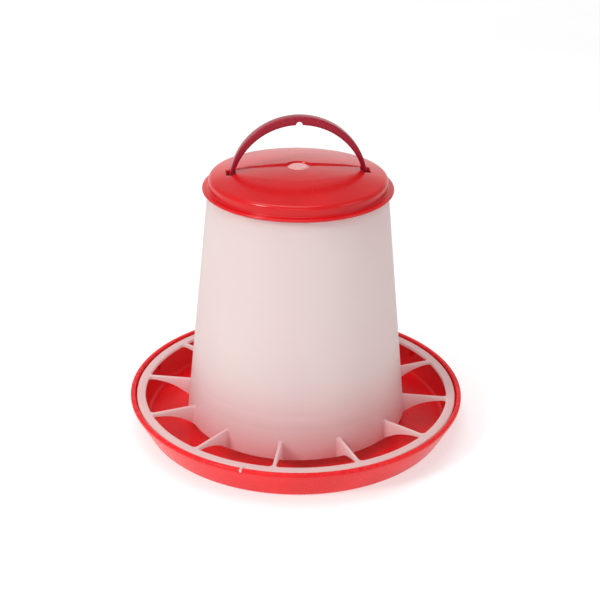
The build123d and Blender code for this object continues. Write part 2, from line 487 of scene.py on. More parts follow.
class Value:
    """A number in a tree, which ordinary operators work on."""

    def __init__(self, owner: NodeTree, socket: bpy.types.NodeSocket) -> None:
        """Wrap an output socket of a tree."""
        self.owner = owner
        self.socket = socket

    def maths(self, operation: str, *terms: object) -> "Value":
        """Add a Math node.

        Args:
            operation: The node's operation.
            *terms: Its inputs in order.

        Returns:
            The result.
        """
        made = self.owner.node("ShaderNodeMath", {"operation": operation}, dict(enumerate(terms)))
        return Value(self.owner, made.outputs[0])

    def __add__(self, other: object) -> "Value":
        """This plus another."""
        return self.maths("ADD", self, other)

    __radd__ = __add__

    def __rsub__(self, other: object) -> "Value":
        """Another less this."""
        return self.maths("SUBTRACT", other, self)

    def __mul__(self, other: object) -> "Value":
        """This times another."""
        return self.maths("MULTIPLY", self, other)

    __rmul__ = __mul__

    def __truediv__(self, other: object) -> "Value":
        """This divided by another."""
        return self.maths("DIVIDE", self, other)

    def __pow__(self, other: object) -> "Value":
        """This to a power."""
        return self.maths("POWER", self, other)

    def at_most(self, limit: float) -> "Value":
        """This, or the limit where it is more."""
        return self.maths("MINIMUM", self, limit)

    def between(self, low: float, high: float) -> "Value":
        """A soft step from 0 to 1.

        Args:
            low: The value where it is 0.
            high: The value where it is 1, which may be the smaller.

        Returns:
            The step.
        """
        made = self.owner.node(
            "ShaderNodeMapRange", {"interpolation_type": "SMOOTHSTEP"},
            {"Value": self, "From Min": min(low, high), "From Max": max(low, high)},
        )
        rising = Value(self.owner, made.outputs[0])
        return rising if low < high else 1 - rising


class Growth(NodeTree):
    """A Geometry Nodes tree under construction."""

    def __init__(self, name: str) -> None:
        """Start a tree with one geometry output.

        Args:
            name: The tree's name.
        """
        super().__init__(bpy.data.node_groups.new(name, "GeometryNodeTree"))
        self.tree.interface.new_socket("Geometry", in_out="OUTPUT", socket_type="NodeSocketGeometry")
        self.entry = self.tree.nodes.new("NodeGroupInput")
        self.exit = self.tree.nodes.new("NodeGroupOutput")
        self.values: dict[str, object] = {}

    def size(self, name: str, kind: str, value: object) -> Value:
        """Add a named input.

        Args:
            name: What it sets.
            kind: The socket type.
            value: What this feeder gives it.

        Returns:
            The input.
        """
        item = self.tree.interface.new_socket(name, in_out="INPUT", socket_type=kind)
        self.values[item.identifier] = value
        return Value(self, self.entry.outputs[name])

    def grow(self, name: str, result: bpy.types.NodeSocket, material: bpy.types.Material) -> bpy.types.Mesh:
        """Finish the tree and turn its result into a plain mesh.

        Args:
            name: The mesh's name.
            result: The socket with the finished geometry.
            material: What the tree dresses it in.

        Returns:
            The mesh, with no modifier left.
        """
        real = self.node("GeometryNodeRealizeInstances", {}, {"Geometry": result})
        dressed = self.node(
            "GeometryNodeSetMaterial", {}, {"Geometry": real.outputs[0], "Material": material}
        )
        self.tree.links.new(dressed.outputs[0], self.exit.inputs[0])
        holder = helper(name + "_holder", bpy.data.meshes.new(name + "_seed"))
        modifier = holder.modifiers.new(name, "NODES")
        modifier.node_group = self.tree
        for identifier, value in self.values.items():
            modifier[identifier] = value
        bpy.context.view_layer.update()
        graph = bpy.context.evaluated_depsgraph_get()
        mesh = bpy.data.meshes.new_from_object(holder.evaluated_get(graph))
        mesh.name = name
        bpy.data.objects.remove(holder)
        return mesh


def helper(name: str, mesh: bpy.types.Mesh) -> bpy.types.Object:
    """An object that only a Geometry Nodes tree reads, and that is removed after it.

    Args:
        name: The object's name.
        mesh: Its mesh.

    Returns:
        The object.
    """
    made = bpy.data.objects.new(name, mesh)
    bpy.context.scene.collection.objects.link(made)
    return made


def ring_of_copies(name: str, seed: bpy.types.Mesh, count: int, first: float,
                   material: bpy.types.Material) -> bpy.types.Mesh:
    """Repeat a mesh round the Z axis.

    Args:
        name: The result's name.
        seed: The mesh to repeat, lying along +X.
        count: How many copies.
        first: The first copy's angle, in radians.
        material: What they are dressed in.

    Returns:
        The copies as one mesh, joined where their edges meet.
    """
    growth = Growth(name)
    source = helper(name + "_source", seed)
    piece = growth.size("Piece", "NodeSocketObject", source)
    copies = growth.size("Copies", "NodeSocketInt", count)
    start = growth.size("First angle", "NodeSocketFloat", first)
    join = growth.size("Join distance", "NodeSocketFloat", 2e-6)
    points = growth.node("GeometryNodePoints", {}, {"Count": copies})
    place = Value(growth, growth.node("GeometryNodeInputIndex").outputs[0])
    spin = growth.node("ShaderNodeCombineXYZ", {}, {"Z": place * tau / copies + start})
    shape = growth.node("GeometryNodeObjectInfo", {}, {"Object": piece})
    placed = growth.node("GeometryNodeInstanceOnPoints", {}, {
        "Points": points.outputs[0], "Instance": shape.outputs["Geometry"], "Rotation": spin.outputs[0],
    })
    real = growth.node("GeometryNodeRealizeInstances", {}, {"Geometry": placed.outputs[0]})
    joined_up = growth.node(
        "GeometryNodeMergeByDistance", {}, {"Geometry": real.outputs[0], "Distance": join}
    )
    mesh = growth.grow(name, joined_up.outputs[0], material)
    bpy.data.objects.remove(source)
    return mesh


def turned_by_nodes(name: str, section: Sequence[Point2], segments: int,
                    material: bpy.types.Material) -> bpy.types.Mesh:
    """Turn a closed wall section about the Z axis with Geometry Nodes.

    Args:
        name: The result's name.
        section: Radius and height of the section's points.
        segments: Columns round the axis.
        material: What it is dressed in.

    Returns:
        The turned wall as a plain mesh.
    """
    flat = bpy.data.meshes.new(name + "_section")
    count = len(section)
    core = section[0][0] / 2
    edges = [(index, (index + 1) % count) for index in range(count)]
    flat.from_pydata([((radius - core) * MM, -height * MM, 0) for radius, height in section], edges, [])
    growth = Growth(name)
    source = helper(name + "_source", flat)
    wall = growth.size("Wall section", "NodeSocketObject", source)
    columns = growth.size("Segments", "NodeSocketInt", segments)
    radius = growth.size("Core radius", "NodeSocketFloat", core * MM)
    shape = growth.node("GeometryNodeObjectInfo", {}, {"Object": wall})
    profile = growth.node("GeometryNodeMeshToCurve", {}, {"Mesh": shape.outputs["Geometry"]})
    path = growth.node(
        "GeometryNodeCurvePrimitiveCircle", {"mode": "RADIUS"}, {"Resolution": columns, "Radius": radius}
    )
    turned = growth.node(
        "GeometryNodeCurveToMesh", {}, {"Curve": path.outputs[0], "Profile Curve": profile.outputs[0]}
    )
    mesh = growth.grow(name, turned.outputs[0], material)
    bpy.data.objects.remove(source)
    return closed_up(mesh)


def closed_up(*meshes: bpy.types.Mesh) -> bpy.types.Mesh:
    """Join meshes into the first, with doubles merged and faces outward.

    Args:
        *meshes: The meshes.

    Returns:
        The first mesh, which now holds them all.
    """
    work = bmesh.new()
    for mesh in meshes:
        work.from_mesh(mesh)
    bmesh.ops.remove_doubles(work, verts=work.verts, dist=MERGE * MM)
    bmesh.ops.recalc_face_normals(work, faces=work.faces)
    work.to_mesh(meshes[0])
    work.free()
    return meshes[0]


# ---------------------------------------------------------------- finishes


def linear(level: int) -> float:
    """One channel of a display colour, 0 to 255, as linear light."""
    share = level / 255
    return share / 12.92 if share <= 0.04045 else ((share + 0.055) / 1.055) ** 2.4


def colour(red: int, green: int, blue: int) -> Colour:
    """A display colour, 0 to 255, as linear light."""
    return linear(red), linear(green), linear(blue), 1.0


@dataclass(frozen=True)
class Grain:
    """A noise pattern: its feature size in millimetres, octaves, and the part of it that shows."""

    size: float
    detail: float = 2.0
    roughness: float = 0.5
    stretch: Point3 = (1.0, 1.0, 1.0)
    low: float = 0.0
    high: float = 0.0


class Finish(NodeTree):
    """A material under construction, with patterns in the object's own coordinates."""

    def __init__(self, name: str) -> None:
        """Start a material and split its coordinates.

        Args:
            name: The material's name.
        """
        self.material = bpy.data.materials.new(name)
        self.material.use_nodes = True
        super().__init__(self.material.node_tree)
        self.tree.nodes.clear()
        self.place = self.node("ShaderNodeTexCoord").outputs["Object"]
        parts = self.node("ShaderNodeSeparateXYZ", {}, {0: self.place})
        self.x, self.y, self.z = (Value(self, parts.outputs[index]) / MM for index in range(3))

    @property
    def radius(self) -> Value:
        """Distance from the Z axis, in millimetres."""
        return (self.x * self.x + self.y * self.y) ** 0.5

    def grain(self, pattern: Grain) -> Value:
        """Noise from 0 to 1.

        Args:
            pattern: Its sizes.

        Returns:
            The noise, as a soft step where the pattern says which part of it shows.
        """
        mapped = self.node("ShaderNodeMapping", {}, {
            "Vector": self.place, "Scale": tuple(1 / factor for factor in pattern.stretch),
        })
        made = self.node("ShaderNodeTexNoise", {}, {
            "Vector": mapped.outputs[0], "Scale": 1 / (pattern.size * MM), "Detail": pattern.detail,
            "Roughness": pattern.roughness,
        })
        noise = Value(self, made.outputs[0])
        return noise.between(pattern.low, pattern.high) if pattern.high else noise

    def blend(self, base: object, other: object, share: object) -> bpy.types.NodeSocket:
        """Mix two colours."""
        made = self.node("ShaderNodeMix", {"data_type": "RGBA"}, {0: share, 6: base, 7: other})
        return made.outputs[2]

    def relief(self, height: Value, depth: float,
               under: bpy.types.NodeSocket | None = None) -> bpy.types.NodeSocket:
        """A bumped normal.

        Args:
            height: The relief, 0 to 1.
            depth: Its depth in millimetres.
            under: A normal to add to.

        Returns:
            The normal.
        """
        inputs: dict[str | int, object] = {"Height": height, "Distance": depth * MM, "Strength": 1.0}
        if under:
            inputs["Normal"] = under
        return self.node("ShaderNodeBump", {}, inputs).outputs[0]

    def close(self, uniform: dict[str, object], varying: dict[str, object], glow: float = 0.0,
              let_through: Colour = WHITE) -> bpy.types.Material:
        """Finish the material.

        Args:
            uniform: Socket values that are the same all over.
            varying: What changes over the surface.
            glow: The share of light that the wall lets through, scattered.
            let_through: The colour of that light.

        Returns:
            The material.
        """
        surface = self.node("ShaderNodeBsdfPrincipled", {}, {**uniform, **varying}).outputs[0]
        if glow:
            through = self.node("ShaderNodeBsdfTranslucent", {}, {"Color": let_through}).outputs[0]
            surface = self.node("ShaderNodeMixShader", {}, {0: glow, 1: surface, 2: through}).outputs[0]
        self.node("ShaderNodeOutputMaterial", {}, {"Surface": surface})
        return self.material


@dataclass(frozen=True)
class RedMoulding:
    """Glossy red moulded plastic."""

    name: str
    base: Colour
    deep: Colour
    scuffed: Colour
    roughness: float = 0.3
    worn_from: float = 0.0
    worn_to: float = 1.0
    worn_inside: float = 0.0
    gloss: float = 0.36
    gate_disc_tint: Colour | None = None
    gate_disc_radius: float = 0.0
    cloud: Grain = Grain(38.0, 3.0, 0.55)
    fine: Grain = Grain(0.9, 3.0, 0.6)
    ripple: Grain = Grain(7.0, 2.0, 0.4)
    specks: Grain = Grain(2.4, 4.0, 0.75, low=0.7, high=0.82)
    hairlines: Grain = Grain(1.1, 5.0, 0.7, (14.0, 1.0, 3.0), 0.62, 0.72)
    crossed: Grain = Grain(1.2, 5.0, 0.7, (1.0, 16.0, 3.0), 0.63, 0.73)
    patches: Grain = Grain(22.0, 4.0, 0.6, low=0.46, high=0.66)
    rubbed: Grain = Grain(5.0, 5.0, 0.7, low=0.5, high=0.68)
    gate_disc_mottle: Grain = Grain(3.5, 3.0, low=0.2, high=0.6)
    scratch_tint: float = 0.3
    wear_tint: float = 0.16
    speck_tint: float = 0.15
    most_tint: float = 0.6
    cloud_rough: float = 0.06
    fine_rough: float = 0.03
    scratch_rough: float = 0.16
    fine_depth: float = 0.002
    ripple_depth: float = 0.02
    scratch_depth: float = 0.004

    def make(self) -> bpy.types.Material:
        """Build the material.

        Returns:
            The finished material.
        """
        finish = Finish(self.name)
        cloud, fine = finish.grain(self.cloud), finish.grain(self.fine)
        crossing = finish.grain(self.hairlines) + finish.grain(self.crossed)
        scratches = crossing.at_most(1.0) * finish.grain(self.patches)
        edge = finish.z.between(self.worn_from, self.worn_to) * finish.radius.between(
            self.worn_inside, self.worn_inside + 2.0
        )
        wear = edge * finish.grain(self.rubbed)
        tint = finish.blend(self.base, self.deep, cloud.between(0.32, 0.68))
        marks = (scratches * self.scratch_tint + wear * self.wear_tint
                 + finish.grain(self.specks) * self.speck_tint)
        tint = finish.blend(tint, self.scuffed, marks.at_most(self.most_tint))
        # The gate disc at the crown's centre is painted a pale pink, lightly mottled.
        if self.gate_disc_tint:
            gate = finish.radius.between(self.gate_disc_radius, self.gate_disc_radius - 1.6) * finish.z.between(
                self.worn_from, self.worn_from + 1.0
            )
            tint = finish.blend(tint, self.gate_disc_tint, gate * (finish.grain(self.gate_disc_mottle) * 0.3 + 0.6))
        base_rough = self.roughness - self.cloud_rough / 2 - self.fine_rough / 2
        rough = (cloud * self.cloud_rough + fine * self.fine_rough
                 + (scratches + wear) * self.scratch_rough + base_rough)
        normal = finish.relief(fine, self.fine_depth)
        normal = finish.relief(finish.grain(self.ripple), self.ripple_depth, normal)
        normal = finish.relief(scratches, -self.scratch_depth, normal)
        return finish.close(
            {"IOR": 1.49, "Specular IOR Level": self.gloss},
            {"Base Color": tint, "Roughness": rough, "Normal": normal},
        )


@dataclass(frozen=True)
class MilkyMoulding:
    """Translucent milky plastic, with painted pink light near the red pan and lid, which stands in for their
    red light reflected in it and shining through it.
    """

    name: str
    milk: Colour
    cream: Colour
    painted_red_light: Colour
    painted_deep_red_light: Colour
    painted_light_top: float
    painted_light_bottom: float
    lid_edge: float
    ring_radius: float
    let_through: Colour = (0.96, 0.93, 0.93, 1.0)
    scratched: Colour = (0.93, 0.9, 0.88, 1.0)
    glow: float = 0.5
    roughness: float = 0.34
    gloss: float = 0.42
    cloud: Grain = Grain(60.0, 3.0, 0.5, (1.0, 1.0, 2.2))
    streaks: Grain = Grain(9.0, 3.0, 0.55, (1.0, 1.0, 9.0))
    fine: Grain = Grain(0.8, 3.0, 0.6)
    ripple: Grain = Grain(11.0, 2.0, 0.45, (1.0, 1.0, 4.0))
    upright: Grain = Grain(1.3, 5.0, 0.7, (1.0, 1.0, 22.0), 0.63, 0.74)
    level: Grain = Grain(1.2, 5.0, 0.7, (9.0, 9.0, 1.0), 0.64, 0.75)
    patches: Grain = Grain(30.0, 4.0, 0.6, low=0.48, high=0.68)
    fine_depth: float = 0.002
    ripple_depth: float = 0.03
    scratch_depth: float = 0.004

    def make(self) -> bpy.types.Material:
        """Build the material.

        Returns:
            The finished material.
        """
        finish = Finish(self.name)
        cloud, fine = finish.grain(self.cloud), finish.grain(self.fine)
        scratches = (finish.grain(self.upright) + finish.grain(self.level)) * finish.grain(self.patches)
        # Painted light: the wall is tinted pink towards its foot, more on the barrel than on the ring. The
        # tint stands in for the red pan's light reflected in the wall and shining through it.
        on_barrel = finish.radius.between(self.ring_radius, self.ring_radius - 30.0) * 0.75 + 0.25
        low = finish.z.between(self.painted_light_top, self.painted_light_bottom) * on_barrel
        painted_pan_light_deep = finish.z.between(self.painted_light_top * 0.45, self.painted_light_bottom * 0.3) * on_barrel
        # Painted light and shade: a pink band just under the lid stands in for the red light and shadow that
        # the lid casts on the wall.
        painted_lid_light = finish.z.between(self.lid_edge - 9.0, self.lid_edge) * 0.35
        tint = finish.blend(self.milk, self.cream, cloud.between(0.35, 0.65))
        tint = finish.blend(tint, self.painted_red_light, low * 0.8 + painted_lid_light + finish.grain(self.streaks) * 0.06)
        tint = finish.blend(tint, self.painted_deep_red_light, painted_pan_light_deep * 0.7)
        tint = finish.blend(tint, self.scratched, scratches * 0.25)
        rough = cloud * 0.06 + fine * 0.07 + scratches * 0.14 + (self.roughness - 0.06)
        normal = finish.relief(fine, self.fine_depth)
        normal = finish.relief(finish.grain(self.ripple), self.ripple_depth, normal)
        normal = finish.relief(scratches, -self.scratch_depth, normal)
        return finish.close(
            {"IOR": 1.5, "Specular IOR Level": self.gloss},
            {"Base Color": tint, "Roughness": rough, "Normal": normal},
            self.glow, self.let_through,
        )


# ---------------------------------------------------------------- pan


@dataclass
class Pan:
    """The shallow red pan, with its rolled rim, spreading cone, gussets and rim notches."""

    material: bpy.types.Material
    outer: float
    height: float
    base_radius: float = 122.2
    wall: float = 2.0
    floor: float = 2.2
    corner: float = 5.0
    rim_width: float = 3.6
    rim_depth: float = 2.4
    rim_rounding: float = 0.9
    cone_height: float = 32.0
    cone_base: float = 46.0
    cone_tip: float = 5.0
    gussets: int = 6
    gusset_width: float = 2.4
    gusset_reach: float = 4.6
    gusset_depth: float = 12.0
    ring_bottom_drop: float = 3.6
    seat_gap: float = 0.05
    notch_half: float = 1.3
    notch_depth: float = 2.9
    segments: int = 240

    def wall_radius(self, height: float) -> float:
        """Outside of the sloped wall at a height."""
        return self.base_radius + (self.outer - self.base_radius) * height / (self.height - self.rim_depth)

    def section(self) -> list[Point2]:
        """The wall's section.

        Returns:
            Its points, from the cone's top round to the hollow under it.
        """
        rim_foot = self.height - self.rim_depth
        mouth = self.outer - self.rim_width
        slope_foot = rim_foot - self.rim_width + self.wall
        top = self.floor + self.cone_height
        return spread(outline([
            Corner(0.0, top),
            Corner(self.cone_tip, top, 2.2),
            Corner(self.cone_base, self.floor, 5.0, 8),
            Corner(self.wall_radius(self.floor) - self.wall, self.floor, self.corner - self.wall + 1.0, 8),
            Corner(self.wall_radius(slope_foot) - self.wall, slope_foot, 0.8, 3),
            Corner(mouth, rim_foot, 0.6, 3),
            Corner(mouth, self.height, self.rim_rounding, 6),
            Corner(self.outer, self.height, self.rim_rounding, 6),
            Corner(self.outer, rim_foot, 0.5, 4),
            Corner(self.base_radius, 0.0, self.corner, 10),
            Corner(self.cone_base, 0.0, 0.6, 3),
            Corner(self.cone_tip, self.cone_height, 1.0, 3),
            Corner(0.0, self.cone_height),
        ], closed=False), 9.0)

    def columns(self, notches: Sequence[float]) -> list[Column]:
        """Columns round the axis, with the rim notches' sides among them.

        Args:
            notches: The notches' angles, in radians.

        Returns:
            The columns in order.
        """
        half = self.notch_half / self.outer
        ceiling = self.height - self.notch_depth
        columns = [
            column for column in columns_round(self.segments)
            if all(abs((column.angle - notch + pi) % tau - pi) > 1.6 * half for notch in notches)
        ]
        for notch in notches:
            middle = notch % tau
            columns += [
                Column(middle - half), Column(middle - half + 1e-9, ceiling), Column(middle, ceiling),
                Column(middle + half - 1e-9, ceiling), Column(middle + half),
            ]
        return sorted(columns, key=lambda column: column.angle)

    def gusset(self) -> Shell:
        """One gusset, a triangle against the wall that carries the ring.

        Returns:
            The gusset, lying along +X.
        """
        top = self.height - self.ring_bottom_drop - self.seat_gap
        foot = top - self.gusset_depth
        tip = self.outer - self.rim_width - self.gusset_reach
        loop = [
            (tip, top), (self.wall_radius(foot) - self.wall / 2, foot),
            (self.wall_radius(top) - self.wall / 2, top),
        ]
        half = self.gusset_width / 2
        flat = Shell()
        flat.plate(loop, [], [(0.3, -half), (0.0, 0.3 - half), (0.0, half - 0.3), (0.3, half)])
        standing = Shell()
        standing.include(flat, Matrix.Rotation(pi / 2, 4, "X"))
        return standing

    def build(self, notches: Sequence[float], gusset_first: float) -> Piece:
        """Build the pan.

        Args:
            notches: The rim notches' angles, in radians.
            gusset_first: The first gusset's angle, in radians.

        Returns:
            The pan as one piece.
        """
        shell = Shell()
        shell.turn(self.section(), self.columns(notches))
        bowl = shell.mesh("feeder_pan")
        rests = ring_of_copies(
            "pan_gussets", self.gusset().mesh("pan_gusset"), self.gussets, gusset_first, self.material
        )
        return Piece(
            "feeder_pan", closed_up(bowl, rests), Body.PAN, Slot.PAN, self.material, ("pan",), 40.0
        )


# ---------------------------------------------------------------- hopper and its grid


@dataclass
class Barrel:
    """The tapered milky barrel, an open tube with two faint mould lines near its foot."""

    material: bpy.types.Material
    bottom: float
    top: float
    bottom_radius: float
    top_radius: float = 69.1
    wall: float = 1.8
    edge: float = 0.7
    line_heights: tuple[float, ...] = (33.8, 45.3)
    line_step: float = 0.1
    seat_gap: float = 0.05
    segments: int = 224

    def radius(self, height: float) -> float:
        """Outside radius at a height."""
        share = (height - self.bottom) / (self.top - self.bottom)
        return self.bottom_radius + (self.top_radius - self.bottom_radius) * share

    def section(self) -> list[Point2]:
        """The wall's closed section.

        Returns:
            Its points, up the outside and down the inside.
        """
        corners = [Corner(self.radius(self.bottom), self.bottom, self.edge, 5)]
        for height in self.line_heights:
            radius = self.radius(height)
            corners += [
                Corner(radius, height - 0.5), Corner(radius - self.line_step, height),
                Corner(self.radius(height + 0.9), height + 0.9),
            ]
        brim = self.top - self.seat_gap
        corners += [
            Corner(self.radius(brim), brim, self.edge, 5),
            Corner(self.radius(brim) - self.wall, brim, self.edge, 5),
            Corner(self.radius(self.bottom) - self.wall, self.bottom, self.edge, 5),
        ]
        loop = outline(corners)
        return spread([*loop, loop[0]], 12.0)[:-1]

    def build(self) -> Piece:
        """Build the barrel.

        Returns:
            The barrel as one piece.
        """
        mesh = turned_by_nodes("hopper_barrel_wall", self.section(), self.segments, self.material)
        return Piece(
            "feeder_hopper_barrel", mesh, Body.HOPPER, Slot.HOPPER, self.material, ("hopper_barrel",), 30.0
        )


@dataclass
class FeedingGrid:
    """The ring with its divider fins and locating keys, which the barrel's foot carries."""

    material: bpy.types.Material
    barrel: Barrel
    top: float
    foot: float
    key_tip: float
    key_top: float
    outer: float = 129.8
    width: float = 6.7
    thickness: float = 2.5
    fins: int = 12
    fin_half: float = 1.1
    fin_end: float = 3.1
    edge: float = 0.55
    cell_corner: float = 3.2
    root_corner: float = 1.8
    keys: int = 2
    key_half: float = 0.9
    key_height: float = 2.2
    key_root: float = 0.6
    root_bite: float = 0.9
    lean_from: float = 90.0
    lean_run: float = 25.0
    ring_blend: float = 1.8
    ring_steps: int = 9
    corner_steps: int = 8
    side_steps: int = 14
    root_steps: int = 6
    lip_steps: int = 3
    arc_steps: int = 18

    @property
    def inner(self) -> float:
        """The ring's inner radius."""
        return self.outer - self.width

    def underside(self, x: float, y: float) -> float:
        """Height of the ring's bottom or of a fin's arched lower edge.

        Args:
            x: Where, along X.
            y: Where, along Y.

        Returns:
            The height.
        """
        radius = hypot(x, y)
        ring_bottom = self.top - self.thickness
        if radius >= self.inner:
            return ring_bottom
        end = self.top - self.fin_end
        run, rise = self.inner - self.barrel.radius(self.top), end - self.foot
        bend = (run * run + rise * rise) / (2 * rise)
        arch = end - bend + sqrt(max(bend * bend - (self.inner - radius) ** 2, 0.0))
        arch = max(arch, self.foot)
        outward = smooth((radius - self.inner + self.ring_blend) / self.ring_blend)
        return arch + (ring_bottom - arch) * outward

    def cell_side(self) -> list[tuple[Vector, Vector]]:
        """Half a cell's edge, from the ring to inside the barrel's wall.

        Returns:
            Its points and outward normals.
        """
        half_angle = pi / self.fins
        side: list[tuple[Vector, Vector]] = []
        reach = sqrt((self.inner - self.cell_corner) ** 2 - (self.fin_half + self.cell_corner) ** 2)
        corner = Vector((reach, self.fin_half + self.cell_corner))
        turn = atan2(corner.y, corner.x)
        for step in range(self.ring_steps):
            angle = half_angle + (turn - half_angle) * step / self.ring_steps
            spoke = Vector((cos(angle), sin(angle)))
            side.append((spoke * self.inner, -spoke))
        for step in range(self.corner_steps + 1):
            angle = turn + (-pi / 2 - turn) * step / self.corner_steps
            spoke = Vector((cos(angle), sin(angle)))
            side.append((corner + spoke * self.cell_corner, -spoke))
        wall = self.barrel.radius(self.top)
        rise = self.fin_half + self.root_corner
        root = Vector((sqrt((wall + self.root_corner) ** 2 - rise * rise), rise))
        for step in range(1, self.side_steps):
            x = corner.x + (root.x - corner.x) * step / self.side_steps
            side.append((Vector((x, self.fin_half)), Vector((0.0, 1.0))))
        back = atan2(root.y, root.x) + pi
        for step in range(self.root_steps + 1):
            angle = 3 * pi / 2 + (back - 3 * pi / 2) * step / self.root_steps
            spoke = Vector((cos(angle), sin(angle)))
            side.append((root + spoke * self.root_corner, -spoke))
        last, normal = side[-1]
        side.append((last * ((wall - self.root_bite) / last.length), normal))
        return side

    def lip(self) -> list[tuple[float, float]]:
        """Inset and drop of each row down the rounded top edge."""
        turns = [pi / 2 * step / self.lip_steps for step in range(self.lip_steps + 1)]
        return [(self.edge * (1 - sin(turn)), self.edge * (1 - cos(turn))) for turn in turns]

    def arc(self, inset: float) -> list[Point2]:
        """The sector's part of the ring's outside.

        Args:
            inset: How far it is moved in.

        Returns:
            Its points, counter-clockwise.
        """
        half = pi / self.fins
        angles = [-half + 2 * half * step / self.arc_steps for step in range(self.arc_steps + 1)]
        return [((self.outer - inset) * cos(angle), (self.outer - inset) * sin(angle)) for angle in angles]

    def cell_rows(self, shell: Shell, mirror: int) -> list[list[int]]:
        """Add the wall of the cell beside a fin.

        Args:
            shell: The shell that it is added to.
            mirror: 1 for the cell on the left, and -1 for the one on the right.

        Returns:
            The indices of its rows of points, from the top down.
        """
        side = self.cell_side()
        rows = [
            shell.add([
                (point.x - inset * normal.x, mirror * (point.y - inset * normal.y), self.top - drop)
                for point, normal in side
            ])
            for inset, drop in self.lip()
        ]
        rows.append(shell.add([
            (point.x, mirror * point.y, self.underside(point.x, point.y)) for point, _ in side
        ]))
        for above, below in zip(rows, rows[1:]):
            shell.strip(above, below, closed=False)
        return rows

    def cover(self, shell: Shell, inset: float, height: Height) -> None:
        """Close the sector with a flat or arched face.

        Args:
            shell: The shell that it is added to.
            inset: How far its edge is moved in.
            height: Its height at an x and y.
        """
        edge = [
            (point.x - inset * normal.x, point.y - inset * normal.y)
            for point, normal in self.cell_side()
        ]
        shell.fill([*self.arc(inset), *edge, *[(x, -y) for x, y in reversed(edge)]], [], height)

    def sector(self) -> Shell:
        """One fin with its share of the ring.

        Returns:
            The sector, lying along +X.
        """
        shell = Shell()
        left, right = self.cell_rows(shell, 1), self.cell_rows(shell, -1)
        for above, below in zip(zip(left, right), zip(left[1:], right[1:])):
            shell.faces.append((above[0][-1], above[1][-1], below[1][-1], below[0][-1]))
        outer = [
            shell.add([(x, y, self.top - drop) for x, y in self.arc(inset)])
            for inset, drop in [*self.lip(), (0.0, self.thickness)]
        ]
        for above, below in zip(outer, outer[1:]):
            shell.strip(above, below, closed=False)
        self.cover(shell, self.edge, lambda x, y: self.top)
        self.cover(shell, 0.0, self.underside)
        shell.points = [self.leant(*point) for point in shell.points]
        return shell

    def leant(self, x: float, y: float, z: float) -> Point3:
        """Lean a fin's root with the barrel's wall."""
        shift = self.barrel.radius(z) - self.barrel.radius(self.top)
        return x + shift * (1 - smooth((x - self.lean_from) / self.lean_run)), y, z

    def key(self) -> Shell:
        """One locating key.

        Returns:
            The key, lying along +X.
        """
        shell = Shell()
        root = self.outer - self.key_root
        loop = [
            (root, -self.key_half), (self.key_tip, -self.key_half),
            (self.key_tip, self.key_half), (root, self.key_half),
        ]
        low, high = self.key_top - self.key_height, self.key_top
        levels = [(0.2, low), (0.0, low + 0.2), (0.0, high - 0.35), (0.12, high - 0.1), (0.35, high)]
        shell.plate(loop, [], levels)
        return shell

    def build(self, fin_first: float, key_first: float, nodes: Sequence[str]) -> Piece:
        """Build the grid.

        Args:
            fin_first: The first fin's angle, in radians.
            key_first: The first key's angle, in radians.
            nodes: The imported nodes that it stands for.

        Returns:
            The grid as one piece.
        """
        spokes = ring_of_copies(
            "grid_ring_and_fins", self.sector().mesh("grid_sector"), self.fins, fin_first, self.material
        )
        keys = ring_of_copies("grid_keys", self.key().mesh("grid_key"), self.keys, key_first, self.material)
        return Piece(
            "feeder_feeding_grid", closed_up(spokes, keys), Body.HOPPER, Slot.HOPPER, self.material,
            tuple(nodes), 32.0,
        )


# ---------------------------------------------------------------- lid

ON_SIDE = Matrix(((0, 0, 1, 0), (1, 0, 0, 0), (0, 1, 0, 0), (0, 0, 0, 1)))


